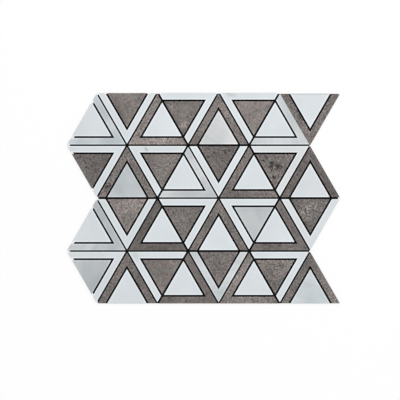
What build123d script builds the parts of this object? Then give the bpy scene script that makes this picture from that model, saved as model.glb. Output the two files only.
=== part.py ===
# Self-adhesive backsplash tile: one sheet of a triangle mosaic, lying face up.
# Each triangle of the mosaic is two chips: a chevron that wraps one corner, and the small triangle in it.
# The chips are glued to a zigzag sheet of black adhesive backing, which shows in the joints between them.
# A release liner covers the adhesive underneath.
# Millimetres, +Z up, +Y towards the top of the pattern, origin under the middle of the sheet.
import os
from math import cos, radians, sin, tan

from build123d import *

# Mosaic lattice: the side of one lattice triangle
TRIANGLE_SIDE = 66.7

# Chips
CHEVRON_WIDTH = 7.8
CHIP_THICKNESS = 2.0
EDGE_ROUND = 0.35

# Joints: between two chevrons, between the backs of two triangles, and between a chevron and its triangle
CHEVRON_JOINT = 0.9
BACK_JOINT = 1.5
INNER_JOINT = 1.3

# One triangle was laid tight against the chevron on its left: the hairline that is left there, and how far
# the triangle slid down along it
TIGHT_JOINT = 0.1
TIGHT_SLIDE = 1.0
TIGHT_ROW, TIGHT_COLUMN = 1, 8

# Layers under the chips
BACKING_THICKNESS = 0.5
LINER_THICKNESS = 0.15

# How far the layers stay inside the lattice: at the top and bottom of the sheet, and along its rows
# at the points of the zigzag sides and in the notches between them
END_INSET = 1.0
POINT_INSET = 3.1
NOTCH_INSET = 1.7

# How far the layers were laid off the middle of the lattice: to the right, and down
LAYERS_RIGHT = 0.55
LAYERS_DOWN = 0.5

# The stock that each chip is cut from: one letter per triangle, one string per row from the top
STOCK_NAMES = {"W": "white", "G": "grey", "T": "taupe"}
CHEVRON_STOCK = ("GWTWTWGT", "WTWGWTWT", "GWTWTWTW", "WTWTGTWT")
TRIANGLE_STOCK = ("WTWTGTWW", "TGTWTWTW", "WTWTWGWT", "GWTWTWTG")

# How far the chips of a triangle are turned to wrap its right corner, its tip or its left corner.
# The three take turns along every row.
CORNER_TURNS = (-120, 0, 120)

# Half of the corner of an equilateral triangle
HALF_CORNER = radians(30)

# Worked out from the sizes above
ROWS = len(CHEVRON_STOCK)
COLUMNS = len(CHEVRON_STOCK[0])
ROW_HEIGHT = TRIANGLE_SIDE * cos(HALF_CORNER)
CENTRE_HEIGHT = ROW_HEIGHT / 3
SHEET_WIDTH = (COLUMNS + 1) * TRIANGLE_SIDE / 2
SHEET_HEIGHT = ROWS * ROW_HEIGHT
POINT_REACH = SHEET_WIDTH / 2 - POINT_INSET
NOTCH_REACH = SHEET_WIDTH / 2 - TRIANGLE_SIDE / 2 - NOTCH_INSET
CHIP_BOTTOM = LINER_THICKNESS + BACKING_THICKNESS
BACK_EDGE = -CENTRE_HEIGHT + BACK_JOINT / 2
CHEVRON_OUTSIDE = CHEVRON_JOINT / 2
CHEVRON_INSIDE = CHEVRON_OUTSIDE + CHEVRON_WIDTH
TRIANGLE_OUTSIDE = CHEVRON_INSIDE + INNER_JOINT


def apex_height(inset):
    """Y from the triangle's centre to where the lines at an inset from the wrapped corner's sides cross."""
    return ROW_HEIGHT - CENTRE_HEIGHT - inset / sin(HALF_CORNER)


def back_half_width(inset):
    """X where the line at an inset from the right side meets the back edge."""
    return (apex_height(inset) - BACK_EDGE) * tan(HALF_CORNER)


def row_line(row):
    """Y of the lattice line above a row, with the rows counted from 1 at the top."""
    return SHEET_HEIGHT / 2 - (row - 1) * ROW_HEIGHT


def points_up(row, column):
    """Odd rows start with a triangle that points up, and even rows with one that points down."""
    return (row + column) % 2 == 0


def triangle_place(row, column):
    """Where the chips of one lattice triangle lie: its centre, and their turn about it."""
    x = -SHEET_WIDTH / 2 + column * TRIANGLE_SIDE / 2
    turn = CORNER_TURNS[(column - 1) % len(CORNER_TURNS)]
    if points_up(row, column):
        y = row_line(row + 1) + CENTRE_HEIGHT
    else:
        y = row_line(row) - CENTRE_HEIGHT
        turn = 180 - turn
    if (row, column) == (TIGHT_ROW, TIGHT_COLUMN):
        closed = CHEVRON_JOINT - TIGHT_JOINT
        x += TIGHT_SLIDE * sin(HALF_CORNER) - closed * cos(HALF_CORNER)
        y -= TIGHT_SLIDE * cos(HALF_CORNER) + closed * sin(HALF_CORNER)
    return Location((x, y, 0), (0, 0, turn))


def places_of(stock, stock_rows, row):
    """The places along one row where the chips are cut from this stock."""
    letters = stock_rows[row - 1]
    return [triangle_place(row, column) for column in range(1, COLUMNS + 1) if letters[column - 1] == stock]


# A chevron chip about its triangle's centre, wrapped round the upper corner
with BuildPart() as chevron_chip:
    with BuildSketch(Plane.XY.offset(CHIP_BOTTOM)):
        with BuildLine():
            Polyline(
                (0, apex_height(CHEVRON_OUTSIDE)),
                (back_half_width(CHEVRON_OUTSIDE), BACK_EDGE),
                (back_half_width(CHEVRON_INSIDE), BACK_EDGE),
                (0, apex_height(CHEVRON_INSIDE)),
            )
            mirror(about=Plane.YZ)
        make_face()
    extrude(amount=CHIP_THICKNESS)
    fillet(chevron_chip.faces().sort_by(Axis.Z)[-1].edges(), EDGE_ROUND)

# The small triangle chip that the chevron frames, with its free side on the back joint
with BuildPart() as triangle_chip:
    with BuildSketch(Plane.XY.offset(CHIP_BOTTOM)):
        with BuildLine():
            Polyline(
                (0, apex_height(TRIANGLE_OUTSIDE)),
                (back_half_width(TRIANGLE_OUTSIDE), BACK_EDGE),
                (0, BACK_EDGE),
            )
            mirror(about=Plane.YZ)
        make_face()
    extrude(amount=CHIP_THICKNESS)
    fillet(triangle_chip.faces().sort_by(Axis.Z)[-1].edges(), EDGE_ROUND)

# The zigzag outline that the backing and its liner share, drawn in from the lattice
left_edge, right_edge = [], []
for line in range(1, ROWS + 2):
    y = row_line(line)
    if line == 1:
        y -= END_INSET
    if line == ROWS + 1:
        y += END_INSET
    points_right = points_up(line, 1)
    left_reach, right_reach = (NOTCH_REACH, POINT_REACH) if points_right else (POINT_REACH, NOTCH_REACH)
    left_edge.append((LAYERS_RIGHT - left_reach, y - LAYERS_DOWN))
    right_edge.append((LAYERS_RIGHT + right_reach, y - LAYERS_DOWN))
with BuildSketch() as backing_outline:
    with BuildLine():
        Polyline(*left_edge, *reversed(right_edge), close=True)
    make_face()

with BuildPart() as release_liner:
    with BuildSketch():
        add(backing_outline.sketch)
    extrude(amount=LINER_THICKNESS)

with BuildPart() as adhesive_backing:
    with BuildSketch(Plane.XY.offset(LINER_THICKNESS)):
        add(backing_outline.sketch)
    extrude(amount=BACKING_THICKNESS)

os.makedirs("parts", exist_ok=True)
release_liner.part.label = "release_liner"
export_step(release_liner.part, "parts/release_liner.step")
adhesive_backing.part.label = "adhesive_backing"
export_step(adhesive_backing.part, "parts/adhesive_backing.step")

# The chips of one shape, one stock and one row are laid together
for chip_name, chip, stock_rows in (
    ("chevrons", chevron_chip.part, CHEVRON_STOCK),
    ("triangles", triangle_chip.part, TRIANGLE_STOCK),
):
    for row in range(1, ROWS + 1):
        for stock, stock_name in STOCK_NAMES.items():
            with BuildPart() as laid_chips:
                with Locations(*places_of(stock, stock_rows, row)):
                    add(chip)
            laid_chips.part.label = f"{stock_name}_{chip_name}_row_{row}"
            export_step(laid_chips.part, f"parts/{laid_chips.part.label}.step")
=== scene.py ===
# Self-adhesive backsplash tile: the finishes of one sheet of triangle mosaic, dressed over its solids.
# Each chip is made again as a mesh with a rounded rim and the relief of its stock, in place of its solid.
# Metres in the sheet's own frame. Sizes that a maker would quote are written in millimetres, times MM.
import random
from collections import namedtuple
from math import cos, pi, radians, sin

import bmesh
import bpy
import numpy as np
from bpy.props import FloatProperty, FloatVectorProperty, PointerProperty
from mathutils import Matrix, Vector, noise
from mathutils.geometry import delaunay_2d_cdt


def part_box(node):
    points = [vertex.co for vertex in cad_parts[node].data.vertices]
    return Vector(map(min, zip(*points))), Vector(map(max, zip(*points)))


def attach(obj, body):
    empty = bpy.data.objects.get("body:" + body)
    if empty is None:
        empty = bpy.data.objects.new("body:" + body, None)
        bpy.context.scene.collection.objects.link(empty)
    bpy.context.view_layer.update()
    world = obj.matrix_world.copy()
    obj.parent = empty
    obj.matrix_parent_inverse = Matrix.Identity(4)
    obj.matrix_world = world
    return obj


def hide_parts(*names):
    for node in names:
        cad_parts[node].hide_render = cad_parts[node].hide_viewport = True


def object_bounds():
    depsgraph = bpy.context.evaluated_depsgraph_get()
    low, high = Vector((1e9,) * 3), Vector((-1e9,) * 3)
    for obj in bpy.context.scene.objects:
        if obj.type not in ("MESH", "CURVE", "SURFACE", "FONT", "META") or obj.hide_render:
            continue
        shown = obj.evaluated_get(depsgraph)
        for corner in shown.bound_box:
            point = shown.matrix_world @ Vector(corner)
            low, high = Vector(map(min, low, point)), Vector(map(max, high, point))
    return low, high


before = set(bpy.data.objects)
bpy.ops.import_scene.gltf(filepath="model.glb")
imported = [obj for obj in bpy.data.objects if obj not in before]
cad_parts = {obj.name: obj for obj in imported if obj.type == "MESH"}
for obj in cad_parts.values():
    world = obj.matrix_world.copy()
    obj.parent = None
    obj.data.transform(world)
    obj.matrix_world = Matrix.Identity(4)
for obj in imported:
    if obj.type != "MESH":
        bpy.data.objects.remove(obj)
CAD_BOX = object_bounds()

bl_info = {
    "name": "Triangle mosaic sheet",
    "version": (1, 0, 0),
    "blender": (4, 5, 0),
    "location": "View3D > Sidebar > Mosaic",
    "description": "Dresses one self-adhesive sheet of triangle mosaic and sets it on a studio floor",
    "category": "Add Mesh",
}

MM = 0.001

# The stocks that chips are cut from, and the record's slot for each
SLOTS = {
    "white": "white_marble_print",
    "grey": "grey_marble_print",
    "taupe": "taupe_stone_print",
}
SHAPES = ("chevron", "triangle")
ROWS = (1, 2, 3, 4)
Chip = namedtuple("Chip", "name stock node corners")

# How the mesh of a chip is divided: rings at the foot and the top of its walls, steps round its upper edge,
# then rings on its face. The painted highlight on the rim along a joint has faded at the last ring
WALL_RINGS = 2
ROUND_STEPS = 4
FACE_RINGS = tuple(ring * MM for ring in (0.06, 0.13, 0.5, 0.9, 1.35, 1.9))
RIM_WIDTH = FACE_RINGS[-1]

# The last band between two rings that the black coat covers, counted from 0 at the walls: squeezed-up
# adhesive that also paints the shade of the joint deeper and wider. In a wide joint it ends at the first ring
# on the face, and in a narrow joint at the second
WIDE_JOINT_SHADE_COAT = WALL_RINGS + ROUND_STEPS - 1
NARROW_JOINT_SHADE_COAT = WIDE_JOINT_SHADE_COAT + 1
NO_SHADE_COAT = -1

# What counts as one point, as a straight run of an outline and as a sharp edge
WELD = 0.001 * MM
STRAIGHT = radians(1)
SHARP = radians(40)

# How a face is filled: with triangles inside its last ring, to a tolerance, between points that stay clear
# of the ring by a share of their spacing
FILL_INSIDE_LOOP = 1
FILL_TOLERANCE = 0.00001 * MM
FILL_CLEARANCE = 0.6

# Shares of the texture map that an unfolded chip and its underside fill, and where on the map each starts
MAP_SHARE = 0.9
MAP_START = 0.01
UNDERSIDE_SHARE = 0.07
UNDERSIDE_START = 0.92

# A side faces a joint if the next chip is this near, and a tight hairline isn't counted as a joint.
# The black coat of adhesive and painted joint shade reaches highest in the narrow joints
JOINT_REACH = 2.0 * MM
NARROW_JOINT = 1.1 * MM
HAIRLINE = 0.3 * MM

# Side of the sheet of stock that chips are cut from
STOCK_SIDE = 2000 * MM

# How the film of each stock differs: the share of its brightness that a step of tone adds, the share of
# painted highlight that its rim gains along a joint, and how deep its surface is textured
Film = namedtuple("Film", "tone_share rim_lift texture_depth")
FILMS = {
    "white": Film(0.035, 0.3, 0.01 * MM),
    "grey": Film(0.14, 0.3, 0.01 * MM),
    "taupe": Film(0.24, 0.22, 0.06 * MM),
}

# Chips that were cut from a deeper or paler part of their stock than most, in steps of tone below or above 0.
# Each chip also strays from its step by up to the spread
CHIP_TONES = {
    -1.5: ("taupe_chevron_r2c8", "taupe_chevron_r3c3"),
    -1.0: (
        "taupe_triangle_r2c1", "taupe_triangle_r3c8", "grey_triangle_r3c6", "grey_triangle_r4c1",
        "white_chevron_r3c2", "white_chevron_r4c1", "white_triangle_r1c1",
    ),
    -0.75: ("taupe_chevron_r3c7", "taupe_chevron_r4c2"),
    -0.5: (
        "taupe_chevron_r1c8", "taupe_chevron_r3c5", "taupe_chevron_r4c4", "taupe_triangle_r1c4",
        "taupe_triangle_r2c5", "taupe_triangle_r3c4", "white_chevron_r2c1", "white_triangle_r2c8",
        "white_triangle_r3c1",
    ),
    -0.25: ("taupe_chevron_r1c5", "taupe_chevron_r2c6", "grey_chevron_r3c1", "grey_triangle_r2c2"),
    0.25: ("taupe_triangle_r4c3",),
    0.5: (
        "taupe_triangle_r1c2", "grey_chevron_r4c5", "white_chevron_r1c4", "white_chevron_r2c5",
        "white_triangle_r2c4", "white_triangle_r3c7",
    ),
    0.75: ("taupe_triangle_r4c7", "grey_chevron_r1c1", "grey_chevron_r1c7", "grey_chevron_r2c4"),
    1.0: ("grey_triangle_r1c5", "white_triangle_r1c3", "white_triangle_r3c5"),
    1.25: ("taupe_chevron_r4c6", "taupe_triangle_r3c2"),
    1.5: ("taupe_triangle_r1c6", "grey_triangle_r4c8"),
    2.0: ("taupe_chevron_r1c3",),
}
TONE_SPREAD = 0.15

# Marble chips whose print is warmer than most, from 0 to 1
CHIP_WARMTH = {
    0.5: ("grey_chevron_r1c7", "grey_triangle_r3c6", "white_chevron_r3c8", "white_triangle_r2c8"),
    1.0: ("grey_chevron_r2c4", "grey_triangle_r1c5", "white_chevron_r2c7"),
}

# Stone chips whose print is smoother or rougher than most, as shares of the usual grain
CHIP_GRAIN = {
    0.5: (
        "taupe_triangle_r1c2", "taupe_triangle_r1c4", "taupe_triangle_r1c6", "taupe_triangle_r4c3",
        "taupe_chevron_r3c3", "taupe_chevron_r3c7", "taupe_chevron_r4c4",
    ),
    1.2: (
        "taupe_triangle_r2c7", "taupe_triangle_r3c8", "taupe_triangle_r4c7", "taupe_chevron_r1c8",
        "taupe_chevron_r2c2", "taupe_chevron_r4c6", "taupe_chevron_r4c8",
    ),
}

# Dark or warm marks in the print: the chip, the middle, the half length and the half width in millimetres,
# the turn in degrees, and how strong the mark is
Mark = namedtuple("Mark", "chip middle half_length half_width turn strength")
MARKS = (
    Mark("white_chevron_r2c3", (-62.3, 53.1), 3.0, 1.2, -53, 1.0),
    Mark("white_chevron_r1c6", (27.5, 113.6), 3.0, 2.0, -30, 0.55),
    Mark("white_chevron_r1c6", (33.0, 112.6), 3.0, 2.0, 0, 0.4),
    Mark("white_chevron_r4c3", (-74.5, -62.0), 6.0, 3.0, -60, 0.35),
    Mark("taupe_triangle_r2c7", (77.0, 33.0), 9.0, 7.0, 0, 0.4),
    Mark("taupe_triangle_r2c7", (74.2, 38.4), 2.6, 1.3, -21, 0.9),
    Mark("taupe_triangle_r2c7", (79.0, 36.6), 2.4, 1.3, -10, 0.9),
    Mark("taupe_triangle_r2c7", (83.6, 34.8), 2.8, 1.3, -15, 0.9),
    Mark("taupe_triangle_r2c7", (74.2, 34.8), 2.6, 1.3, 17, 0.9),
    Mark("taupe_triangle_r2c7", (79.9, 32.5), 2.4, 1.3, 12, 0.9),
    Mark("taupe_triangle_r2c7", (74.5, 31.1), 1.6, 1.2, 60, 0.8),
    Mark("taupe_triangle_r2c7", (76.9, 22.3), 2.6, 1.4, -55, 1.0),
    Mark("taupe_triangle_r2c7", (78.6, 22.2), 2.2, 1.2, 56, 1.0),
    Mark("taupe_triangle_r2c7", (65.4, 40.8), 3.2, 1.3, -9, 0.9),
    Mark("taupe_chevron_r2c2", (-104.0, 14.0), 7.0, 3.0, 55, 0.7),
    Mark("taupe_chevron_r1c8", (105.5, 89.0), 9.0, 2.5, -60, 0.7),
)

# Places where pale wisps show in the stone print
WISPS = (
    Mark("taupe_triangle_r3c8", (117.5, -10.8), 10.0, 7.5, 0, 1.0),
    Mark("taupe_triangle_r3c8", (111.0, -18.0), 6.0, 4.0, -50, 0.8),
    Mark("taupe_triangle_r1c4", (-35.3, 100.6), 7.0, 3.5, -60, 0.5),
    Mark("taupe_triangle_r1c4", (-22.2, 79.0), 5.0, 6.0, 0, 0.65),
)

# Clusters of dark flecks in the stone print: the chip, the middle, the spread along and across the row in
# millimetres, and how many flecks
Cluster = namedtuple("Cluster", "chip middle spread count")
CLUSTERS = (
    Cluster("taupe_triangle_r2c7", (76.0, 34.0), (5.0, 4.0), 3),
    Cluster("taupe_triangle_r2c1", (-135.0, 45.0), (2.5, 2.0), 6),
    Cluster("taupe_triangle_r2c1", (-123.0, 35.0), (4.0, 3.5), 7),
    Cluster("taupe_triangle_r2c5", (6.0, 48.5), (4.0, 4.0), 10),
    Cluster("taupe_triangle_r2c5", (26.0, 50.0), (6.0, 1.5), 7),
    Cluster("taupe_triangle_r4c7", (84.0, -71.5), (2.0, 2.0), 6),
    Cluster("taupe_chevron_r2c2", (-104.0, 14.0), (2.5, 3.0), 7),
    Cluster("taupe_chevron_r1c8", (105.5, 89.0), (3.0, 4.0), 6),
    Cluster("taupe_chevron_r4c6", (55.0, -111.0), (4.0, 1.5), 4),
)

# How ragged the edge of a mark is, and the width of its notches in millimetres
RAGGED_SHARE = 0.5
RAGGED_WIDTH = 3.0

# Pits of the stone print, as ranges: how deep scattered pits and clustered flecks are and how long, as shares
# of the deepest and the longest, and how wide, as a share of a pit's own length. Their sides are this much
# steeper than those of a plain bowl
PIT_DEPTHS = (0.2, 0.8)
FLECK_DEPTHS = (0.85, 1.0)
PIT_LENGTHS = (0.5, 1.0)
PIT_WIDTHS = (0.45, 0.75)
PIT_STEEPNESS = 1.5

# The pressed grain of the stone print: how fast its finer layers fade, how much finer each is, and how many
GRAIN_FADE = 1.0
GRAIN_FINER = 2.0
GRAIN_LAYERS = 3

# Sockets of a Mix node that mixes colours, by place because its other kinds use the same names
FACTOR, FIRST, SECOND, MIXED = 0, 6, 7, 2

# The stage: a lamp above the upper right of the sheet, a floor that glows just below the liner, and a camera
# a little left of and below the middle
LAMP_PLACE = Vector((0.75, 1.1, 1.5))
LAMP_SIDE = 1.0
FLOOR_GLOW = 0.85
FLOOR_GAP = 0.02 * MM
CAMERA_ASIDE = (-3.65 * MM, -2.04 * MM)
SENSOR_WIDTH = 36.0


def linear(hex_colour):
    """Turn an sRGB hex colour into the linear values that a shader takes."""
    channels = [int(hex_colour[start:start + 2], 16) / 255 for start in (1, 3, 5)]
    return tuple(c / 12.92 if c <= 0.04045 else ((c + 0.055) / 1.055) ** 2.4 for c in channels)


def length(name, description, millimetres):
    """A length in a property group."""
    return FloatProperty(
        name=name, description=description, default=millimetres * MM, min=0.0, precision=5, unit="LENGTH"
    )


def colour(name, description, hex_colour):
    """A colour in a property group."""
    return FloatVectorProperty(
        name=name, description=description, default=linear(hex_colour), min=0.0, max=1.0, size=3,
        subtype="COLOR",
    )


class ChipSizes(bpy.types.PropertyGroup):
    edge_round: length("Edge round", "Radius of the upper edge of every chip", 0.35)
    print_step: length("Print step", "Spacing of the mesh on the smooth printed chips", 1.0)
    stone_step: length("Stone step", "Spacing of the mesh on the stone chips", 0.45)
    grain_height: length("Grain height", "Height of the stone print's pressed grain", 0.05)
    grain_width: length("Grain width", "Width of the bumps of that grain", 2.2)
    pit_depth: length("Pit depth", "Depth of the pits pressed into the stone chips", 0.16)
    pit_radius: length("Pit radius", "Half length of the largest pits", 1.8)
    pit_spacing: length("Pit spacing", "Side of the square of face that has one pit", 9.0)


class FinishColours(bpy.types.PropertyGroup):
    white_face: colour("White face", "White marble print between its clouds", "#dce2e5")
    white_cloud: colour("White cloud", "Clouds and veins of the white marble print", "#d3d9dc")
    white_mark: colour("White mark", "Warm marks in the white marble print", "#acaea6")
    grey_pale: colour("Grey pale", "Pale clouds of the grey marble print", "#ccd1d3")
    grey_deep: colour("Grey deep", "Deep clouds of the grey marble print", "#adb5b9")
    grey_warm: colour("Grey warm", "Warm tint that drifts through the grey marble print", "#c6c3c2")
    taupe_warm: colour("Taupe warm", "Reddish patches of the taupe stone print", "#796f6d")
    taupe_cool: colour("Taupe cool", "Greenish patches of the taupe stone print", "#74706c")
    taupe_pale: colour("Taupe pale", "Pale wisps of the taupe stone print", "#c4bcb6")
    taupe_dark: colour("Taupe dark", "Pits and stains of the taupe stone print", "#191615")
    warm_tint: colour("Warm tint", "What tints the chips of a warm print", "#fffbfa")
    chip_core: colour("Chip core", "Cut sides of the chips, below the printed film", "#6b6763")
    foam: colour("Foam", "Black adhesive foam", "#121212")
    paper: colour("Paper", "Release paper", "#e6e3d8")
    floor: colour("Floor", "Studio floor", "#ffffff")


class StageSettings(bpy.types.PropertyGroup):
    frame_width: length("Frame width", "Width of what the camera sees at the sheet's face", 436.7)
    lens: FloatProperty(
        name="Lens", description="Focal length in millimetres", default=135.0, min=1.0, unit="CAMERA"
    )
    floor_side: length("Floor side", "Side of the square floor", 12000.0)
    world_strength: FloatProperty(
        name="World strength", description="Share of the light that comes from all round",
        default=0.72, min=0.0, max=1.0, subtype="FACTOR",
    )
    lamp_strength: FloatProperty(
        name="Lamp strength", description="Share of the light that comes from the soft lamp",
        default=0.28, min=0.0, max=1.0, subtype="FACTOR",
    )


def add_object(name, data):
    """Add an object to the scene."""
    added = bpy.data.objects.new(name, data)
    bpy.context.scene.collection.objects.link(added)
    return added


# Outlines

def around(items):
    """Each item of a closed run with the one before it and the one after it."""
    return [(items[i - 1], items[i], items[(i + 1) % len(items)]) for i in range(len(items))]


def chip_outlines(node):
    """The corners of each chip in a node, counter-clockwise seen from above."""
    solid = bmesh.new()
    solid.from_mesh(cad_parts[node].data)
    bmesh.ops.remove_doubles(solid, verts=solid.verts, dist=WELD)
    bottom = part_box(node)[0].z
    under = [face for face in solid.faces if all(vert.co.z < bottom + WELD for vert in face.verts)]
    next_corner = {}
    for face in under:
        for loop in face.loops:
            if not any(other in under for other in loop.edge.link_faces if other is not face):
                next_corner[loop.link_loop_next.vert] = loop.vert
    outlines = []
    while next_corner:
        corner, following = next_corner.popitem()
        walked = [corner.co.xy]
        while following in next_corner:
            walked.append(following.co.xy)
            following = next_corner.pop(following)
        outlines.append(
            [here for back, here, ahead in around(walked) if (here - back).angle(ahead - here) > STRAIGHT]
        )
    solid.free()
    return outlines


def laid_chips():
    """All the chips, each named for its place: rows from the top, columns from the left."""
    chips = []
    for shape in SHAPES:
        for row in ROWS:
            along_row = []
            for stock in SLOTS:
                node = f"{stock}_{shape}s_row_{row}"
                along_row += [(stock, node, corners) for corners in chip_outlines(node)]
            along_row.sort(key=lambda laid: sum(corner.x for corner in laid[2]) / len(laid[2]))
            for column, (stock, node, corners) in enumerate(along_row, 1):
                chips.append(Chip(f"{stock}_{shape}_r{row}c{column}", stock, node, corners))
    return chips


def drawn_in(corners, distance):
    """An outline drawn in by a distance, or out where it is negative, with mitred corners."""
    drawn = []
    for back, here, ahead in around(corners):
        left_of_first = (here - back).normalized().orthogonal()
        left_of_second = (ahead - here).normalized().orthogonal()
        mitre = (left_of_first + left_of_second) / (1 + left_of_first.dot(left_of_second))
        drawn.append(here + mitre * distance)
    return drawn


def sides_of(corners):
    """The two ends of each side of an outline."""
    return [(here, ahead) for _, here, ahead in around(corners)]


def divided(corners, counts):
    """Points along an outline, with so many steps on each side."""
    points = []
    for (here, ahead), count in zip(sides_of(corners), counts):
        points += [here.lerp(ahead, step / count) for step in range(count)]
    return points


def from_sides(points, sides):
    """How far each point lies from the nearest of some sides."""
    nearest = np.full(len(points), np.inf)
    for here, ahead in sides:
        start = np.array(here)
        side = np.array(ahead) - start
        share = np.clip((points - start) @ side / (side @ side), 0, 1)
        nearest = np.minimum(nearest, np.linalg.norm(points - start - share[:, None] * side, axis=1))
    return nearest


def inside(points, corners):
    """Which points lie inside an outline."""
    odd = np.zeros(len(points), bool)
    for here, ahead in sides_of(corners):
        if here.y == ahead.y:
            continue
        crosses = (here.y > points[:, 1]) != (ahead.y > points[:, 1])
        meets = here.x + (points[:, 1] - here.y) * (ahead.x - here.x) / (ahead.y - here.y)
        odd ^= crosses & (points[:, 0] < meets)
    return odd


def lattice(corners, step):
    """Points of a triangular lattice that fill an outline, clear of its sides."""
    low = np.min(corners, axis=0)
    high = np.max(corners, axis=0)
    row_step = step * sin(pi / 3)
    points = []
    for row, y in enumerate(np.arange(low[1], high[1], row_step)):
        shift = step / 2 if row % 2 else 0.0
        points += [(x, y) for x in np.arange(low[0] + shift, high[0], step)]
    points = np.array(points)
    clear = inside(points, corners) & (from_sides(points, sides_of(corners)) > step * FILL_CLEARANCE)
    return points[clear]


# Chips

def listed(table, name, default):
    """The value under which a table lists a chip, or a default."""
    return next((value for value, names in table.items() if name in names), default)


def turned(away, turn):
    """How far points lie along and across a line at a turn."""
    along = away[:, 0] * cos(turn) + away[:, 1] * sin(turn)
    across = away[:, 1] * cos(turn) - away[:, 0] * sin(turn)
    return along, across


def marks_at(marks, chip, points):
    """How strongly some marks in the print show at each point of a chip."""
    strength = np.zeros(len(points))
    for mark in marks:
        if mark.chip == chip.name:
            away = points / MM - np.array(mark.middle)
            along, across = turned(away, radians(mark.turn))
            off_middle = (along / mark.half_length)**2 + (across / mark.half_width)**2
            ragged = [
                1 + RAGGED_SHARE * noise.noise((x / RAGGED_WIDTH, y / RAGGED_WIDTH, mark.turn))
                for x, y in away
            ]
            strength += mark.strength * np.exp(-off_middle * ragged)
    return np.clip(strength, 0, 1)


def pits_at(chip, points, sizes, chance):
    """How deep the pits of a stone chip are at each point, from 0 to 1."""
    low = np.min(chip.corners, axis=0)
    high = np.max(chip.corners, axis=0)
    scattered = round((high[0] - low[0]) * (high[1] - low[1]) / sizes.pit_spacing**2)
    pits = [
        (chance.uniform(low[0], high[0]), chance.uniform(low[1], high[1]), chance.uniform(*PIT_DEPTHS))
        for _ in range(scattered)
    ]
    for cluster in CLUSTERS:
        if cluster.chip == chip.name:
            for _ in range(cluster.count):
                x, y = (chance.gauss(*each) * MM for each in zip(cluster.middle, cluster.spread))
                pits.append((x, y, chance.uniform(*FLECK_DEPTHS)))
    depth = np.zeros(len(points))
    for x, y, deepest in pits:
        turn = chance.uniform(0, pi)
        half_length = sizes.pit_radius * chance.uniform(*PIT_LENGTHS)
        half_width = half_length * chance.uniform(*PIT_WIDTHS)
        along, across = turned(points - np.array((x, y)), turn)
        bowl = 1 - (along / half_length)**2 - (across / half_width)**2
        depth = np.maximum(depth, deepest * np.clip(PIT_STEEPNESS * bowl, 0, 1))
    return depth


def grain_at(places, width):
    """How high the pressed grain of the stone print is at each place in the stock, from about -1 to 1."""
    return np.array([
        noise.fractal(Vector(place) / width, GRAIN_FADE, GRAIN_FINER, GRAIN_LAYERS) for place in places
    ])


def near(outlines, corners, reach):
    """The outlines whose boxes come within reach of another outline, apart from that one."""
    low = np.min(corners, axis=0) - reach
    high = np.max(corners, axis=0) + reach
    others = [outline for outline in outlines if outline is not corners]
    return [
        outline for outline in others
        if (np.max(outline, axis=0) > low).all() and (np.min(outline, axis=0) < high).all()
    ]


def joint_gaps(sides, neighbours):
    """How far the next chip is from the middle of each side of a chip."""
    middles = np.array([here.lerp(ahead, 0.5) for here, ahead in sides])
    return np.min([from_sides(middles, sides_of(outline)) for outline in neighbours], axis=0)


def chip_section(bottom, top, radius):
    """A chip's section from the underside to the last ring on its face.

    Each step of it says how far in from the outline it is, how high, and how far from the face it lies when
    the chip is unfolded flat.
    """
    quarter = radius * pi / 2
    section = [(0.0, bottom, top - bottom - radius + quarter), (0.0, top - radius, quarter)]
    for step in range(1, ROUND_STEPS + 1):
        turn = step / ROUND_STEPS * pi / 2
        section.append((radius * (1 - cos(turn)), top - radius * (1 - sin(turn)), radius * (pi / 2 - turn)))
    return section + [(radius + ring, top, -ring) for ring in FACE_RINGS]


def place_in_stock(flat, depths, chance):
    """Where in its stock each point of a chip was cut from."""
    along, across = turned(flat - np.mean(flat, axis=0), -chance.uniform(0, 2 * pi))
    return np.column_stack((
        along + chance.uniform(0, STOCK_SIDE),
        across + chance.uniform(0, STOCK_SIDE),
        depths,
    ))


def chip_faces(flat, ring_count, ring_size, last_shade_coated):
    """The faces of a chip from the underside to the filled top, and which of them the black coat covers:
    adhesive and painted shade of the joint.
    """
    faces = [tuple(reversed(range(ring_size)))]
    is_shade_coated = [False]
    for ring in range(ring_count - 1):
        for i in range(ring_size):
            here = ring * ring_size + i
            ahead = ring * ring_size + (i + 1) % ring_size
            faces.append((here, ahead, ahead + ring_size, here + ring_size))
            is_shade_coated.append(ring <= last_shade_coated[i])
    first = (ring_count - 1) * ring_size
    loop = [(i, (i + 1) % ring_size) for i in range(ring_size)]
    points = [Vector(point) for point in flat[first:]]
    filled = delaunay_2d_cdt(points, loop, [], FILL_INSIDE_LOOP, FILL_TOLERANCE)
    _, _, triangles, sources = filled[:4]
    origin = [first + merged[0] for merged in sources]
    faces += [tuple(origin[i] for i in triangle) for triangle in triangles]
    is_shade_coated += [False] * len(triangles)
    return faces, is_shade_coated


def unfold(mesh, flat):
    """Lay the chip out flat as its texture map, with the hidden underside small in a corner of it."""
    low = flat.min(axis=0)
    span = (flat.max(axis=0) - low).max()
    spread = (flat - low) / span
    layer = mesh.uv_layers.new(name="OFBake")
    corners = np.zeros(len(mesh.loops), int)
    mesh.loops.foreach_get("vertex_index", corners)
    places = spread[corners] * MAP_SHARE + MAP_START
    underside = mesh.polygons[0].loop_total
    places[:underside] = spread[corners[:underside]] * UNDERSIDE_SHARE + UNDERSIDE_START
    layer.data.foreach_set("uv", places.astype(np.float32).ravel())


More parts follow.
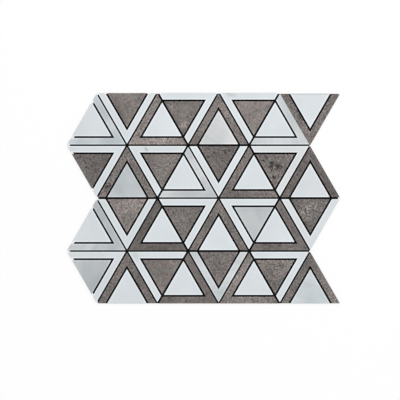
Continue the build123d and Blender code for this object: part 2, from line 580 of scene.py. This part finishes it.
def build_chip(chip, neighbours, backing, materials, sizes, step, is_stone):
    """One chip: walls, a rounded upper edge and a face, in the place of its solid."""
    chance = random.Random(chip.name)
    bottom, top = (corner.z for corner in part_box(chip.node))
    radius = sizes.edge_round

    # Rings of points round the chip, then the lattice that fills the face
    section = chip_section(bottom, top, radius)
    insets, levels, _ = zip(*section)
    sides = sides_of(chip.corners)
    counts = [max(1, round((ahead - here).length / step)) for here, ahead in sides]
    rings = [divided(drawn_in(chip.corners, inset), counts) for inset in insets]
    unfolded = [divided(drawn_in(chip.corners, radius - away), counts) for _, _, away in section]
    ring_size = len(rings[0])
    face_points = lattice(drawn_in(chip.corners, insets[-1]), step)
    flat = np.concatenate((*rings, face_points))
    heights = np.concatenate((np.repeat(levels, ring_size), np.full(len(face_points), top)))
    from_edge = np.concatenate((np.repeat(insets, ring_size), from_sides(face_points, sides)))
    wall = np.arange(len(flat)) < WALL_RINGS * ring_size

    # Along a joint the rim is lifted paler as a painted highlight, and over the backing a black coat of
    # squeezed-up adhesive covers the edge and paints the shade of the joint deeper and wider
    gaps = joint_gaps(sides, neighbours)
    faces_joint = (gaps > HAIRLINE) & (gaps < JOINT_REACH)
    from_joints = from_sides(flat, [side for side, is_facing in zip(sides, faces_joint) if is_facing])
    rim = np.clip(1 - (from_joints - radius) / RIM_WIDTH, 0, 1)
    outer_ring = flat[:ring_size]
    over_backing = inside((outer_ring + np.roll(outer_ring, -1, axis=0)) / 2, backing)
    # Bands that the black coat covers: squeezed-up adhesive and painted shade of the joint
    last_shade_coated = np.where(gaps < NARROW_JOINT, NARROW_JOINT_SHADE_COAT, WIDE_JOINT_SHADE_COAT)
    last_shade_coated = np.where(faces_joint, last_shade_coated, NO_SHADE_COAT).repeat(counts)
    last_shade_coated = np.where(over_backing, last_shade_coated, NO_SHADE_COAT)

    # Stone chips are pitted and pressed with a grain, down from the face and clear of the rounded edge
    stock_place = place_in_stock(flat, heights - top, chance)
    pit = np.zeros(len(flat))
    if is_stone:
        on_face = np.clip((from_edge - radius) / RIM_WIDTH, 0, 1)
        pit = pits_at(chip, flat, sizes, chance) * on_face
        grain = grain_at(stock_place, sizes.grain_width)
        heights = heights - pit * sizes.pit_depth + (grain - 1) / 2 * sizes.grain_height * on_face
        heights = np.minimum(heights, top)

    faces, is_shade_coated = chip_faces(flat, len(rings), ring_size, last_shade_coated)
    mesh = bpy.data.meshes.new(chip.name)
    mesh.from_pydata(np.column_stack((flat, heights)).tolist(), [], faces)
    tone = listed(CHIP_TONES, chip.name, 0.0) + chance.uniform(-TONE_SPREAD, TONE_SPREAD)
    for name, values in (
        ("rim", rim),
        ("wall", wall),
        ("pit", pit),
        ("tone", np.full(len(flat), tone)),
        ("warmth", np.full(len(flat), listed(CHIP_WARMTH, chip.name, 0.0))),
        ("grain", np.full(len(flat), listed(CHIP_GRAIN, chip.name, 1.0))),
        ("mark", marks_at(MARKS, chip, flat)),
        ("wisp", marks_at(WISPS, chip, flat)),
    ):
        mesh.attributes.new(name, "FLOAT", "POINT").data.foreach_set("value", values.astype(np.float32))
    places = mesh.attributes.new("stock_place", "FLOAT_VECTOR", "POINT")
    places.data.foreach_set("vector", stock_place.astype(np.float32).ravel())
    unfold(mesh, np.concatenate((*unfolded, face_points)))
    mesh.polygons.foreach_set("use_smooth", [True] * len(mesh.polygons))
    mesh.set_sharp_from_angle(angle=SHARP)
    for material in materials:
        mesh.materials.append(material)
    mesh.polygons.foreach_set("material_index", [int(each) for each in is_shade_coated])

    piece = add_object(chip.name, mesh)
    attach(piece, "root")
    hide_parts(chip.node)


def lay_chips(wanted, material, is_stone=False):
    """All the chips of one stock, with a black coat on their edges along the joints: adhesive and painted
    shade of the joint.
    """
    sizes = bpy.context.scene.mosaic_sizes
    step = sizes.stone_step if is_stone else sizes.print_step
    chips = laid_chips()
    outlines = [chip.corners for chip in chips]
    backing = chip_outlines("adhesive_backing")[0]
    # The second material is the black coat on edges along joints: adhesive and painted shade of the joint
    materials = (material, black_adhesive_foam())
    for chip in chips:
        if chip.stock == wanted:
            neighbours = near(outlines, chip.corners, 2 * JOINT_REACH)
            build_chip(chip, neighbours, backing, materials, sizes, step, is_stone)


# Materials

def per_metre(millimetres):
    """The scale of a pattern whose features are so wide."""
    return 1 / (millimetres * MM)


def add_node(tree, kind, settings, inputs):
    """Add a node, set it up, and give each input a value or the socket that feeds it.

    An input goes by its name, or by its place where a node has more than one of that name.
    """
    node = tree.nodes.new(kind)
    for name, value in settings.items():
        setattr(node, name, value)
    for name, value in inputs.items():
        socket = node.inputs[name]
        if isinstance(value, bpy.types.NodeSocket):
            tree.links.new(value, socket)
        elif socket.type == "RGBA":
            socket.default_value = (*value[:3], 1.0)
        else:
            socket.default_value = value
    return node


def new_material(name):
    """A material with an empty node tree."""
    material = bpy.data.materials.new(name)
    material.use_nodes = True
    material.node_tree.nodes.clear()
    return material, material.node_tree


def finish_chip(tree, film, printed, roughness, texture):
    """What every chip has over its print: a tone, a warmth, a painted highlight on the rim along joints, cut
    sides and a textured film.

    The cut sides show a grey core with a mineral filler. Real filler is finer than 0.1 mm, so it is drawn
    coarser to show.
    """
    colours = bpy.context.scene.mosaic_colours
    place = add_node(tree, "ShaderNodeAttribute", {"attribute_name": "stock_place"}, {}).outputs["Vector"]
    tone, warmth, rim, wall = (
        add_node(tree, "ShaderNodeAttribute", {"attribute_name": name}, {}).outputs["Fac"]
        for name in ("tone", "warmth", "rim", "wall")
    )
    level = add_node(
        tree, "ShaderNodeMath", {"operation": "MULTIPLY_ADD"}, {0: tone, 1: film.tone_share, 2: 1.0}
    ).outputs[0]
    face = add_node(
        tree, "ShaderNodeVectorMath", {"operation": "SCALE"}, {0: printed, "Scale": level}
    ).outputs[0]
    # The rim along a joint is lifted paler: a painted highlight
    rim_highlight_level = add_node(
        tree, "ShaderNodeMapRange", {"interpolation_type": "SMOOTHSTEP"},
        {"Value": rim, "To Min": 1.0, "To Max": 1.0 + film.rim_lift},
    ).outputs[0]
    highlighted = add_node(
        tree, "ShaderNodeVectorMath", {"operation": "SCALE"}, {0: face, "Scale": rim_highlight_level}
    ).outputs[0]
    tinted = add_node(
        tree, "ShaderNodeMix", {"data_type": "RGBA", "blend_type": "MULTIPLY"},
        {FACTOR: warmth, FIRST: highlighted, SECOND: colours.warm_tint},
    ).outputs[MIXED]
    filler = add_node(
        tree, "ShaderNodeTexNoise", {}, {"Vector": place, "Scale": per_metre(0.5), "Detail": 2.0}
    ).outputs[0]
    filler_level = add_node(
        tree, "ShaderNodeMapRange", {},
        {"Value": filler, "From Min": 0.3, "From Max": 0.7, "To Min": 0.65, "To Max": 1.3},
    ).outputs[0]
    core = add_node(
        tree, "ShaderNodeVectorMath", {"operation": "SCALE"}, {0: colours.chip_core, "Scale": filler_level}
    ).outputs[0]
    cut = add_node(
        tree, "ShaderNodeMix", {"data_type": "RGBA"},
        {FACTOR: wall, FIRST: tinted, SECOND: core},
    ).outputs[MIXED]
    bump = add_node(
        tree, "ShaderNodeBump", {},
        {"Height": texture, "Distance": film.texture_depth, "Strength": 1.0},
    ).outputs[0]
    surface = add_node(
        tree, "ShaderNodeBsdfPrincipled", {},
        {"Base Color": cut, "Roughness": roughness, "IOR": 1.45, "Normal": bump},
    ).outputs[0]
    add_node(tree, "ShaderNodeOutputMaterial", {}, {"Surface": surface})


def satin_lacquer(tree, place):
    """How rough the lacquer over a marble print is, and its soft ripple."""
    ripple = add_node(
        tree, "ShaderNodeTexNoise", {}, {"Vector": place, "Scale": per_metre(2.5), "Detail": 2.0}
    ).outputs[0]
    roughness = add_node(
        tree, "ShaderNodeMapRange", {}, {"Value": ripple, "To Min": 0.38, "To Max": 0.5}
    ).outputs[0]
    return roughness, ripple


def white_marble_print():
    """White marble printed on vinyl under satin lacquer: nearly even, with soft clouds and faint veins."""
    colours = bpy.context.scene.mosaic_colours
    material, tree = new_material("White marble print, satin lacquered vinyl")
    place = add_node(tree, "ShaderNodeAttribute", {"attribute_name": "stock_place"}, {}).outputs["Vector"]
    clouds = add_node(
        tree, "ShaderNodeTexNoise", {}, {"Vector": place, "Scale": per_metre(38), "Detail": 3.0}
    ).outputs[0]
    cloud_share = add_node(
        tree, "ShaderNodeMapRange", {}, {"Value": clouds, "From Min": 0.3, "From Max": 0.75}
    ).outputs[0]
    clouded = add_node(
        tree, "ShaderNodeMix", {"data_type": "RGBA"},
        {FACTOR: cloud_share, FIRST: colours.white_face, SECOND: colours.white_cloud},
    ).outputs[MIXED]
    drift = add_node(
        tree, "ShaderNodeTexNoise", {},
        {"Vector": place, "Scale": per_metre(28), "Detail": 4.0, "Distortion": 0.8},
    ).outputs[0]
    off_vein = add_node(
        tree, "ShaderNodeMath", {"operation": "SUBTRACT"}, {0: drift, 1: 0.5}
    ).outputs[0]
    off_vein = add_node(tree, "ShaderNodeMath", {"operation": "ABSOLUTE"}, {0: off_vein}).outputs[0]
    vein_share = add_node(
        tree, "ShaderNodeMapRange", {},
        {"Value": off_vein, "From Max": 0.02, "To Min": 0.35, "To Max": 0.0},
    ).outputs[0]
    veined = add_node(
        tree, "ShaderNodeMix", {"data_type": "RGBA"},
        {FACTOR: vein_share, FIRST: clouded, SECOND: colours.white_cloud},
    ).outputs[MIXED]
    mark = add_node(tree, "ShaderNodeAttribute", {"attribute_name": "mark"}, {}).outputs["Fac"]
    marked = add_node(
        tree, "ShaderNodeMix", {"data_type": "RGBA"},
        {FACTOR: mark, FIRST: veined, SECOND: colours.white_mark},
    ).outputs[MIXED]
    finish_chip(tree, FILMS["white"], marked, *satin_lacquer(tree, place))
    return material


def grey_marble_print():
    """Grey marble printed on vinyl under satin lacquer: broad cool clouds, soft streaks, a warm tint."""
    colours = bpy.context.scene.mosaic_colours
    material, tree = new_material("Grey marble print, satin lacquered vinyl")
    place = add_node(tree, "ShaderNodeAttribute", {"attribute_name": "stock_place"}, {}).outputs["Vector"]
    clouds = add_node(
        tree, "ShaderNodeTexNoise", {}, {"Vector": place, "Scale": per_metre(50), "Detail": 2.0}
    ).outputs[0]
    cloud_share = add_node(
        tree, "ShaderNodeMapRange", {"interpolation_type": "SMOOTHSTEP"},
        {"Value": clouds, "From Min": 0.3, "From Max": 0.7},
    ).outputs[0]
    clouded = add_node(
        tree, "ShaderNodeMix", {"data_type": "RGBA"},
        {FACTOR: cloud_share, FIRST: colours.grey_pale, SECOND: colours.grey_deep},
    ).outputs[MIXED]
    drift = add_node(
        tree, "ShaderNodeTexNoise", {}, {"Vector": place, "Scale": per_metre(46), "Detail": 1.0}
    ).outputs[0]
    warm_share = add_node(
        tree, "ShaderNodeMapRange", {},
        {"Value": drift, "From Min": 0.45, "From Max": 0.7, "To Max": 0.2},
    ).outputs[0]
    warmed = add_node(
        tree, "ShaderNodeMix", {"data_type": "RGBA"},
        {FACTOR: warm_share, FIRST: clouded, SECOND: colours.grey_warm},
    ).outputs[MIXED]
    along = add_node(
        tree, "ShaderNodeMapping", {},
        {"Vector": place, "Scale": (per_metre(70), per_metre(6), per_metre(6))},
    ).outputs[0]
    streaks = add_node(
        tree, "ShaderNodeTexNoise", {}, {"Vector": along, "Scale": 1.0, "Detail": 2.0, "Distortion": 0.3}
    ).outputs[0]
    streak_level = add_node(
        tree, "ShaderNodeMapRange", {},
        {"Value": streaks, "From Min": 0.25, "From Max": 0.75, "To Min": 0.93, "To Max": 1.07},
    ).outputs[0]
    streaked = add_node(
        tree, "ShaderNodeVectorMath", {"operation": "SCALE"}, {0: warmed, "Scale": streak_level}
    ).outputs[0]
    finish_chip(tree, FILMS["grey"], streaked, *satin_lacquer(tree, place))
    return material


def taupe_stone_print():
    """Taupe stone printed on vinyl and pressed with a grain: mottled, pitted, wispy and stained."""
    colours = bpy.context.scene.mosaic_colours
    material, tree = new_material("Taupe stone print, matt embossed vinyl")
    place = add_node(tree, "ShaderNodeAttribute", {"attribute_name": "stock_place"}, {}).outputs["Vector"]
    patches = add_node(
        tree, "ShaderNodeTexNoise", {}, {"Vector": place, "Scale": per_metre(7), "Detail": 5.0}
    ).outputs[0]
    patch_share = add_node(
        tree, "ShaderNodeMapRange", {}, {"Value": patches, "From Min": 0.4, "From Max": 0.6}
    ).outputs[0]
    patched = add_node(
        tree, "ShaderNodeMix", {"data_type": "RGBA"},
        {FACTOR: patch_share, FIRST: colours.taupe_warm, SECOND: colours.taupe_cool},
    ).outputs[MIXED]
    cloud = add_node(
        tree, "ShaderNodeTexNoise", {}, {"Vector": place, "Scale": per_metre(34), "Detail": 2.0}
    ).outputs[0]
    cloud_level = add_node(
        tree, "ShaderNodeMapRange", {},
        {"Value": cloud, "From Min": 0.25, "From Max": 0.75, "To Min": 0.65, "To Max": 1.35},
    ).outputs[0]
    mottle = add_node(
        tree, "ShaderNodeTexNoise", {},
        {"Vector": place, "Scale": per_metre(4.5), "Detail": 6.0, "Roughness": 0.65},
    ).outputs[0]
    mottle_level = add_node(
        tree, "ShaderNodeMapRange", {},
        {"Value": mottle, "From Min": 0.25, "From Max": 0.75, "To Min": 0.6, "To Max": 1.35},
    ).outputs[0]
    grain = add_node(
        tree, "ShaderNodeTexNoise", {}, {"Vector": place, "Scale": per_metre(1.8), "Detail": 5.0}
    ).outputs[0]
    grain_swing = add_node(
        tree, "ShaderNodeMapRange", {},
        {"Value": grain, "From Min": 0.25, "From Max": 0.75, "To Min": -0.85, "To Max": 0.75},
    ).outputs[0]
    grain_share = add_node(tree, "ShaderNodeAttribute", {"attribute_name": "grain"}, {}).outputs["Fac"]
    grain_level = add_node(
        tree, "ShaderNodeMath", {"operation": "MULTIPLY_ADD"}, {0: grain_swing, 1: grain_share, 2: 1.0}
    ).outputs[0]
    level = add_node(
        tree, "ShaderNodeMath", {"operation": "MULTIPLY"}, {0: cloud_level, 1: mottle_level}
    ).outputs[0]
    level = add_node(
        tree, "ShaderNodeMath", {"operation": "MULTIPLY"}, {0: level, 1: grain_level}
    ).outputs[0]
    mottled = add_node(
        tree, "ShaderNodeVectorMath", {"operation": "SCALE"}, {0: patched, "Scale": level}
    ).outputs[0]

    # Pale wisps are thin curled lines: faint all over, and plain where they are marked
    curl = add_node(
        tree, "ShaderNodeTexNoise", {},
        {"Vector": place, "Scale": per_metre(6), "Detail": 0.5, "Distortion": 1.2},
    ).outputs[0]
    off_wisp = add_node(tree, "ShaderNodeMath", {"operation": "SUBTRACT"}, {0: curl, 1: 0.5}).outputs[0]
    off_wisp = add_node(tree, "ShaderNodeMath", {"operation": "ABSOLUTE"}, {0: off_wisp}).outputs[0]
    wisp_line = add_node(
        tree, "ShaderNodeMapRange", {},
        {"Value": off_wisp, "From Max": 0.085, "To Min": 1.0, "To Max": 0.0},
    ).outputs[0]
    wisp = add_node(tree, "ShaderNodeAttribute", {"attribute_name": "wisp"}, {}).outputs["Fac"]
    wisp_share = add_node(
        tree, "ShaderNodeMapRange", {}, {"Value": wisp, "To Min": 0.08, "To Max": 1.0}
    ).outputs[0]
    wisp_share = add_node(
        tree, "ShaderNodeMath", {"operation": "MULTIPLY"}, {0: wisp_line, 1: wisp_share}
    ).outputs[0]
    wispy = add_node(
        tree, "ShaderNodeMix", {"data_type": "RGBA"},
        {FACTOR: wisp_share, FIRST: mottled, SECOND: colours.taupe_pale},
    ).outputs[MIXED]

    # Stains are ragged, and darkest in the middle of a mark
    mark = add_node(tree, "ShaderNodeAttribute", {"attribute_name": "mark"}, {}).outputs["Fac"]
    ragged = add_node(
        tree, "ShaderNodeTexNoise", {},
        {"Vector": place, "Scale": per_metre(3.5), "Detail": 3.0, "Distortion": 1.5},
    ).outputs[0]
    stain = add_node(
        tree, "ShaderNodeMath", {"operation": "MULTIPLY_ADD"}, {0: ragged, 1: 2.4, 2: mark}
    ).outputs[0]
    stain_share = add_node(
        tree, "ShaderNodeMapRange", {}, {"Value": stain, "From Min": 1.55, "From Max": 2.1, "To Max": 0.95}
    ).outputs[0]
    stained = add_node(
        tree, "ShaderNodeMix", {"data_type": "RGBA"},
        {FACTOR: stain_share, FIRST: wispy, SECOND: colours.taupe_dark},
    ).outputs[MIXED]
    pit = add_node(tree, "ShaderNodeAttribute", {"attribute_name": "pit"}, {}).outputs["Fac"]
    pit_share = add_node(
        tree, "ShaderNodeMath", {"operation": "MULTIPLY"}, {0: pit, 1: 0.95}
    ).outputs[0]
    pitted = add_node(
        tree, "ShaderNodeMix", {"data_type": "RGBA"},
        {FACTOR: pit_share, FIRST: stained, SECOND: colours.taupe_dark},
    ).outputs[MIXED]
    roughness = add_node(
        tree, "ShaderNodeMapRange", {}, {"Value": mottle, "To Min": 0.75, "To Max": 0.55}
    ).outputs[0]
    finish_chip(tree, FILMS["taupe"], pitted, roughness, grain)
    return material


def black_adhesive_foam():
    """Closed-cell foam coated with tacky black adhesive: very dark, with fine cells and little gloss.

    Real cells are about 0.2 mm wide, so they are drawn coarser to show.
    """
    colours = bpy.context.scene.mosaic_colours
    name = "Black adhesive foam, closed cell"
    if name in bpy.data.materials:
        return bpy.data.materials[name]
    material, tree = new_material(name)
    place = add_node(tree, "ShaderNodeTexCoord", {}, {}).outputs["Object"]
    cells = add_node(
        tree, "ShaderNodeTexVoronoi", {}, {"Vector": place, "Scale": per_metre(0.5)}
    ).outputs[0]
    shade = add_node(
        tree, "ShaderNodeMapRange", {}, {"Value": cells, "To Min": 1.15, "To Max": 0.7}
    ).outputs[0]
    dark = add_node(
        tree, "ShaderNodeVectorMath", {"operation": "SCALE"}, {0: colours.foam, "Scale": shade}
    ).outputs[0]
    bump = add_node(
        tree, "ShaderNodeBump", {}, {"Height": cells, "Distance": 0.1 * MM, "Strength": 1.0}
    ).outputs[0]
    foam = add_node(
        tree, "ShaderNodeBsdfPrincipled", {},
        {"Base Color": dark, "Roughness": 0.85, "IOR": 1.5, "Specular IOR Level": 0.15, "Normal": bump},
    ).outputs[0]
    add_node(tree, "ShaderNodeOutputMaterial", {}, {"Surface": foam})
    return material


def glassine_release_paper():
    """Glassine paper with a silicone coat: cream, faintly clouded with fibres, and satin."""
    colours = bpy.context.scene.mosaic_colours
    material, tree = new_material("Glassine release paper, silicone coated")
    place = add_node(tree, "ShaderNodeTexCoord", {}, {}).outputs["Object"]
    fibres = add_node(
        tree, "ShaderNodeTexNoise", {},
        {"Vector": place, "Scale": per_metre(3), "Detail": 5.0, "Roughness": 0.7, "Distortion": 1.5},
    ).outputs[0]
    shade = add_node(
        tree, "ShaderNodeMapRange", {},
        {"Value": fibres, "From Min": 0.3, "From Max": 0.7, "To Min": 0.93, "To Max": 1.0},
    ).outputs[0]
    fibred = add_node(
        tree, "ShaderNodeVectorMath", {"operation": "SCALE"}, {0: colours.paper, "Scale": shade}
    ).outputs[0]
    bump = add_node(
        tree, "ShaderNodeBump", {}, {"Height": fibres, "Distance": 0.02 * MM, "Strength": 1.0}
    ).outputs[0]
    paper = add_node(
        tree, "ShaderNodeBsdfPrincipled", {},
        {"Base Color": fibred, "Roughness": 0.42, "IOR": 1.45, "Normal": bump},
    ).outputs[0]
    add_node(tree, "ShaderNodeOutputMaterial", {}, {"Surface": paper})
    return material


def dress_node(node, material):
    """Give a solid that stays as it is its finish."""
    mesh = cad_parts[node].data
    mesh.materials.clear()
    mesh.materials.append(material)


# Stage

def seen_rays(tree):
    """1 for rays that look at a backdrop, also in a reflection, and 0 for rays that light the sheet."""
    path = add_node(tree, "ShaderNodeLightPath", {}, {}).outputs
    straight = add_node(
        tree, "ShaderNodeMath", {"operation": "ADD"}, {0: path["Is Camera Ray"], 1: path["Is Glossy Ray"]}
    ).outputs[0]
    return add_node(
        tree, "ShaderNodeMath", {"operation": "ADD", "use_clamp": True},
        {0: straight, 1: path["Is Transmission Ray"]},
    ).outputs[0]


def studio_floor():
    """Matt white studio paper: most of what the eye sees is its own glow, so shadows on it stay faint."""
    colours = bpy.context.scene.mosaic_colours
    material, tree = new_material("Matt white studio paper")
    seen = seen_rays(tree)
    share = add_node(tree, "ShaderNodeMath", {"operation": "MULTIPLY"}, {0: seen, 1: FLOOR_GLOW}).outputs[0]
    matt = add_node(tree, "ShaderNodeBsdfDiffuse", {}, {"Color": colours.floor}).outputs[0]
    glow = add_node(tree, "ShaderNodeEmission", {}, {"Color": colours.floor, "Strength": 1.0}).outputs[0]
    mixed = add_node(tree, "ShaderNodeMixShader", {}, {0: share, 1: matt, 2: glow}).outputs[0]
    add_node(tree, "ShaderNodeOutputMaterial", {}, {"Surface": mixed})
    return material


def light_world(strength):
    """Even light from all round, and plain white where the world itself is seen."""
    world = bpy.data.worlds.new("Studio")
    bpy.context.scene.world = world
    world.use_nodes = True
    tree = world.node_tree
    tree.nodes.clear()
    white = (1.0, 1.0, 1.0)
    seen = seen_rays(tree)
    light = add_node(tree, "ShaderNodeBackground", {}, {"Color": white, "Strength": strength}).outputs[0]
    backdrop = add_node(tree, "ShaderNodeBackground", {}, {"Color": white, "Strength": 1.0}).outputs[0]
    mixed = add_node(tree, "ShaderNodeMixShader", {}, {0: seen, 1: light, 2: backdrop}).outputs[0]
    add_node(tree, "ShaderNodeOutputWorld", {}, {"Surface": mixed})


def lay_floor(side):
    """A square floor just under the release paper."""
    half = side / 2
    level = CAD_BOX[0].z - FLOOR_GAP
    mesh = bpy.data.meshes.new("studio_floor")
    mesh.from_pydata(
        [(-half, -half, level), (half, -half, level), (half, half, level), (-half, half, level)],
        [], [(0, 1, 2, 3)],
    )
    mesh.materials.append(studio_floor())
    floor = add_object("studio_floor", mesh)


def hang_lamp(strength):
    """A broad soft lamp that faces the sheet, so bright that it adds this share of plain light."""
    lamp = bpy.data.lights.new("soft_lamp", "AREA")
    lamp.shape = "SQUARE"
    lamp.size = LAMP_SIDE
    facing_sheet = LAMP_PLACE.z / LAMP_PLACE.length
    lamp.energy = strength * pi**2 * LAMP_PLACE.length_squared / facing_sheet
    hung = add_object("soft_lamp", lamp)
    hung.location = LAMP_PLACE
    hung.rotation_euler = (-LAMP_PLACE).to_track_quat("-Z", "Y").to_euler()


def set_camera(settings):
    """A long lens above the sheet, unturned, so that it looks straight down."""
    camera = bpy.data.cameras.new("camera")
    camera.lens = settings.lens
    camera.sensor_width = SENSOR_WIDTH
    above_face = settings.frame_width * camera.lens / camera.sensor_width
    placed = add_object("camera", camera)
    placed.location = (*CAMERA_ASIDE, CAD_BOX[1].z + above_face)
    bpy.context.scene.camera = placed


# Operators and panel

class MOSAIC_OT_white_chips(bpy.types.Operator):
    """Lay the chips that are cut from white marble print"""
    bl_idname = "mosaic.white_chips"
    bl_label = "White chips"

    def execute(self, context):
        lay_chips("white", white_marble_print())
        return {"FINISHED"}


class MOSAIC_OT_grey_chips(bpy.types.Operator):
    """Lay the chips that are cut from grey marble print"""
    bl_idname = "mosaic.grey_chips"
    bl_label = "Grey chips"

    def execute(self, context):
        lay_chips("grey", grey_marble_print())
        return {"FINISHED"}


class MOSAIC_OT_taupe_chips(bpy.types.Operator):
    """Lay the chips that are cut from taupe stone print"""
    bl_idname = "mosaic.taupe_chips"
    bl_label = "Taupe chips"

    def execute(self, context):
        lay_chips("taupe", taupe_stone_print(), is_stone=True)
        return {"FINISHED"}


class MOSAIC_OT_adhesive_backing(bpy.types.Operator):
    """Finish the backing as black adhesive foam"""
    bl_idname = "mosaic.adhesive_backing"
    bl_label = "Adhesive backing"

    def execute(self, context):
        dress_node("adhesive_backing", black_adhesive_foam())
        return {"FINISHED"}


class MOSAIC_OT_release_liner(bpy.types.Operator):
    """Finish the liner as release paper"""
    bl_idname = "mosaic.release_liner"
    bl_label = "Release liner"

    def execute(self, context):
        dress_node("release_liner", glassine_release_paper())
        return {"FINISHED"}


class MOSAIC_OT_stage(bpy.types.Operator):
    """Set the sheet on a white floor in soft light, under the camera"""
    bl_idname = "mosaic.stage"
    bl_label = "Stage"

    def execute(self, context):
        settings = context.scene.mosaic_stage
        context.scene.view_settings.view_transform = "Standard"
        light_world(settings.world_strength)
        lay_floor(settings.floor_side)
        hang_lamp(settings.lamp_strength)
        set_camera(settings)
        return {"FINISHED"}


OPERATORS = (
    MOSAIC_OT_adhesive_backing,
    MOSAIC_OT_release_liner,
    MOSAIC_OT_white_chips,
    MOSAIC_OT_grey_chips,
    MOSAIC_OT_taupe_chips,
    MOSAIC_OT_stage,
)


class MOSAIC_PT_sheet(bpy.types.Panel):
    """The sheet's pieces, sizes and colours"""
    bl_idname = "MOSAIC_PT_sheet"
    bl_label = "Triangle mosaic sheet"
    bl_space_type = "VIEW_3D"
    bl_region_type = "UI"
    bl_category = "Mosaic"

    def draw(self, context):
        for operator in OPERATORS:
            self.layout.operator(operator.bl_idname)
        for group in (context.scene.mosaic_sizes, context.scene.mosaic_colours, context.scene.mosaic_stage):
            box = self.layout.box()
            for name in group.__annotations__:
                box.prop(group, name)


CLASSES = (ChipSizes, FinishColours, StageSettings, *OPERATORS, MOSAIC_PT_sheet)


def register():
    for each in CLASSES:
        bpy.utils.register_class(each)
    bpy.types.Scene.mosaic_sizes = PointerProperty(type=ChipSizes)
    bpy.types.Scene.mosaic_colours = PointerProperty(type=FinishColours)
    bpy.types.Scene.mosaic_stage = PointerProperty(type=StageSettings)


def unregister():
    del bpy.types.Scene.mosaic_sizes
    del bpy.types.Scene.mosaic_colours
    del bpy.types.Scene.mosaic_stage
    for each in reversed(CLASSES):
        bpy.utils.unregister_class(each)


def main():
    register()
    bpy.ops.mosaic.adhesive_backing()
    bpy.ops.mosaic.release_liner()
    bpy.ops.mosaic.white_chips()
    bpy.ops.mosaic.grey_chips()
    bpy.ops.mosaic.taupe_chips()
    bpy.ops.mosaic.stage()


if __name__ == "__main__":
    main()
